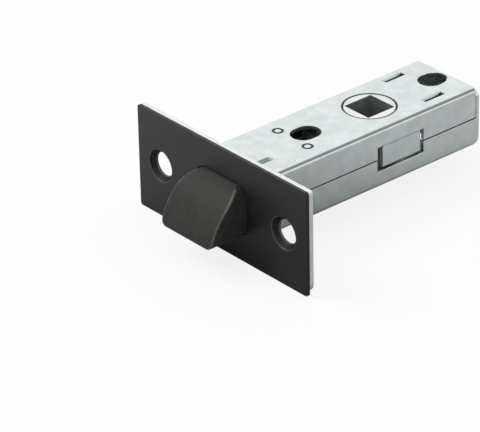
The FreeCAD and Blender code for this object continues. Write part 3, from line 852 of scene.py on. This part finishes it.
def round_coil(node, low, high):
    """A coil of round wire that fills the node's box: a circle screwed along Y."""
    sizes = bpy.context.scene.latch_sizes
    radius = sizes.spring_wire / 2
    mean_radius = (high.x - low.x) / 2 - radius
    middle = Vector(((low.x + high.x) / 2, low.y + radius, 0.0))
    turns = sizes.spring_turns
    steps = turns * 28
    pitch = (high.y - low.y - 2 * radius) / steps
    shape = bmesh.new()
    ring = bmesh.ops.create_circle(shape, cap_ends=True, segments=12, radius=radius)
    place = Matrix.Translation(middle + Vector((mean_radius, 0.0, 0.0)))
    bmesh.ops.transform(shape, matrix=place, verts=ring["verts"])
    bmesh.ops.spin(
        shape,
        geom=shape.verts[:] + shape.edges[:] + shape.faces[:],
        cent=middle,
        axis=(0, 1, 0),
        dvec=(0, pitch, 0),
        angle=2 * math.pi * turns,
        steps=steps,
        use_duplicate=False,
    )
    bmesh.ops.recalc_face_normals(shape, faces=shape.faces)
    mesh = bpy.data.meshes.new("coiled_" + node)
    shape.to_mesh(mesh)
    shape.free()
    mesh.shade_smooth()
    coil = bpy.data.objects.new("coiled_" + node, mesh)
    bpy.context.scene.collection.objects.link(coil)
    return coil


class LATCH_OT_springs(bpy.types.Operator):
    """Dress the two bolt springs, which shorten as the bolt is drawn back"""

    bl_idname = "latch.springs"
    bl_label = "Springs"

    def execute(self, context):
        wire = spring_wire()
        for side in ("left", "right"):
            node = "bolt_spring_" + side
            low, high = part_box(node)
            coil = round_coil(node, low, high)
            set_material(coil, wire)
            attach(coil, BODY_OF[node])
            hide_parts(node)
            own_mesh(coil)
        return {"FINISHED"}


def camera_axes(stage):
    """Right, up and back directions of the camera."""
    azimuth, elevation, roll = stage.azimuth, stage.elevation, stage.roll
    back = Vector(
        (
            math.sin(azimuth) * math.cos(elevation),
            -math.cos(azimuth) * math.cos(elevation),
            math.sin(elevation),
        )
    )
    level = Vector((math.cos(azimuth), math.sin(azimuth), 0))
    upright = back.cross(level)
    right = math.cos(roll) * level + math.sin(roll) * upright
    up = -math.sin(roll) * level + math.cos(roll) * upright
    return right, up, back


def add_camera(stage):
    right, up, back = camera_axes(stage)
    data = bpy.data.cameras.new("camera")
    data.sensor_width = SENSOR_WIDTH
    data.lens = stage.focal_pixels / PHOTO_WIDTH * SENSOR_WIDTH
    data.clip_start = 0.01
    data.clip_end = 100.0
    data.dof.use_dof = False
    camera = bpy.data.objects.new("camera", data)
    bpy.context.scene.collection.objects.link(camera)
    place = stage.shift_right * right + stage.shift_up * up + stage.distance * back
    turn = Matrix((right, up, back)).transposed().to_4x4()
    camera.matrix_world = Matrix.Translation(place) @ turn
    bpy.context.scene.camera = camera


def add_key_lamp(stage):
    """One large round lamp at the upper left, for soft light and shadow."""
    data = bpy.data.lights.new("key", "AREA")
    data.shape = "DISK"
    data.size = KEY_SIZE
    data.energy = stage.key_power
    lamp = bpy.data.objects.new("key", data)
    lamp.location = KEY_PLACE
    lamp.rotation_mode = "QUATERNION"
    lamp.rotation_quaternion = (Vector(KEY_PLACE) - Vector(KEY_AIM)).to_track_quat("Z", "Y")
    bpy.context.scene.collection.objects.link(lamp)


def ray_share(tree, *kinds):
    """1 for rays of any of the kinds, named as the Light Path node names them, and else 0."""
    path = add_node(tree, "ShaderNodeLightPath").outputs
    share = path[kinds[0]]
    for kind in kinds[1:]:
        either = {0: share, 1: path[kind]}
        share = add_node(tree, "ShaderNodeMath", {"operation": "MAXIMUM"}, either).outputs[0]
    return share


def add_world(stage):
    """A white sky in the picture, in gloss and through gaps, and a plainer one for the light."""
    world = bpy.data.worlds.new("studio")
    bpy.context.scene.world = world
    world.use_nodes = True
    tree = world.node_tree
    tree.nodes.clear()
    seen = ray_share(tree, "Is Camera Ray", "Is Glossy Ray", "Is Transmission Ray")
    level = add_node(
        tree,
        "ShaderNodeMapRange",
        inputs={"Value": seen, "To Min": stage.world_strength, "To Max": 1.0},
    )
    background = add_node(
        tree,
        "ShaderNodeBackground",
        inputs={"Color": (1.0, 1.0, 1.0, 1.0), "Strength": level.outputs["Result"]},
    )
    add_node(tree, "ShaderNodeOutputWorld", inputs={"Surface": background.outputs["Background"]})


def floor_tone(tree, stage):
    """The floor's tone to the latch: one in its light, and one that varies in its gloss.

    In gloss it carries a painted shadow of the case: pale at the left, greyer at the right, darkest by
    the forend."""
    place = add_node(tree, "ShaderNodeTexCoord")
    across = add_node(tree, "ShaderNodeSeparateXYZ", inputs={"Vector": place.outputs["Object"]})
    shadow_ramp = {
        "Value": across.outputs["Y"],
        "From Min": 22 * MM,
        "From Max": 58 * MM,
        "To Min": stage.floor_right,
        "To Max": stage.floor_rear,
    }
    mirrored = {
        "Value": across.outputs["X"],
        "From Min": -60 * MM,
        "From Max": 20 * MM,
        "To Min": stage.floor_left,
        "To Max": add_node(tree, "ShaderNodeMapRange", inputs=shadow_ramp).outputs["Result"],
    }
    tone = {
        "Value": ray_share(tree, "Is Glossy Ray"),
        "To Min": stage.floor_cast,
        "To Max": add_node(tree, "ShaderNodeMapRange", inputs=mirrored).outputs["Result"],
    }
    return add_node(tree, "ShaderNodeMapRange", inputs=tone).outputs["Result"]


def paper_floor(stage):
    """Matt white paper: nearly plain white in the picture, so that only soft shadows show."""
    material, tree = new_material("paper_floor")
    seen = ray_share(tree, "Is Camera Ray", "Is Transmission Ray")
    tone = add_node(
        tree,
        "ShaderNodeMapRange",
        inputs={"Value": seen, "To Min": floor_tone(tree, stage), "To Max": 1.0},
    )
    paper = add_node(tree, "ShaderNodeBsdfDiffuse", inputs={"Color": tone.outputs["Result"]})
    white = add_node(tree, "ShaderNodeEmission", inputs={"Strength": 1.0})
    share = add_node(
        tree, "ShaderNodeMath", {"operation": "MULTIPLY"}, {0: seen, 1: stage.floor_white}
    )
    mix = add_node(
        tree,
        "ShaderNodeMixShader",
        inputs={0: share.outputs[0], 1: paper.outputs["BSDF"], 2: white.outputs["Emission"]},
    )
    add_node(tree, "ShaderNodeOutputMaterial", inputs={"Surface": mix.outputs["Shader"]})
    return material


def add_floor(stage):
    """A wide pale floor just under the latch."""
    shape = bmesh.new()
    bmesh.ops.create_circle(shape, cap_ends=True, segments=64, radius=FLOOR_RADIUS)
    bmesh.ops.translate(shape, verts=shape.verts, vec=(0, 0, CAD_BOX[0].z))
    mesh = bpy.data.meshes.new("floor")
    shape.to_mesh(mesh)
    shape.free()
    floor = bpy.data.objects.new("floor", mesh)
    bpy.context.scene.collection.objects.link(floor)
    set_material(floor, paper_floor(stage))


class LATCH_OT_stage(bpy.types.Operator):
    """Set up the camera, the lights and the pale floor"""

    bl_idname = "latch.stage"
    bl_label = "Studio"

    def execute(self, context):
        stage = context.scene.latch_stage
        context.scene.view_settings.view_transform = "Standard"
        add_camera(stage)
        add_world(stage)
        add_floor(stage)
        add_key_lamp(stage)
        return {"FINISHED"}


PIECE_OPERATORS = (
    LATCH_OT_forend,
    LATCH_OT_case,
    LATCH_OT_bolt,
    LATCH_OT_follower,
    LATCH_OT_mechanism,
    LATCH_OT_springs,
)


class LATCH_PT_panel(bpy.types.Panel):
    """Lists the latch's pieces, finishes and studio"""

    bl_idname = "LATCH_PT_panel"
    bl_label = "Tubular latch"
    bl_space_type = "VIEW_3D"
    bl_region_type = "UI"
    bl_category = "Latch"

    def draw(self, context):
        layout = self.layout
        for operator in (*PIECE_OPERATORS, LATCH_OT_stage):
            layout.operator(operator.bl_idname)
        for group in GROUPS:
            values = getattr(context.scene, group)
            box = layout.box()
            for name in values.__annotations__:
                box.prop(values, name)


GROUPS = {
    "latch_finishes": LatchFinishes,
    "latch_sizes": LatchSizes,
    "latch_stage": LatchStage,
}
CLASSES = (*GROUPS.values(), *PIECE_OPERATORS, LATCH_OT_stage, LATCH_PT_panel)


def register():
    for cls in CLASSES:
        bpy.utils.register_class(cls)
    for name, group in GROUPS.items():
        setattr(bpy.types.Scene, name, PointerProperty(type=group))


def unregister():
    for name in GROUPS:
        delattr(bpy.types.Scene, name)
    for cls in reversed(CLASSES):
        bpy.utils.unregister_class(cls)


def main():
    register()
    bpy.ops.latch.stage()
    bpy.ops.latch.forend()
    bpy.ops.latch.case()
    bpy.ops.latch.bolt()
    bpy.ops.latch.follower()
    bpy.ops.latch.mechanism()
    bpy.ops.latch.springs()


if __name__ == "__main__":
    main()
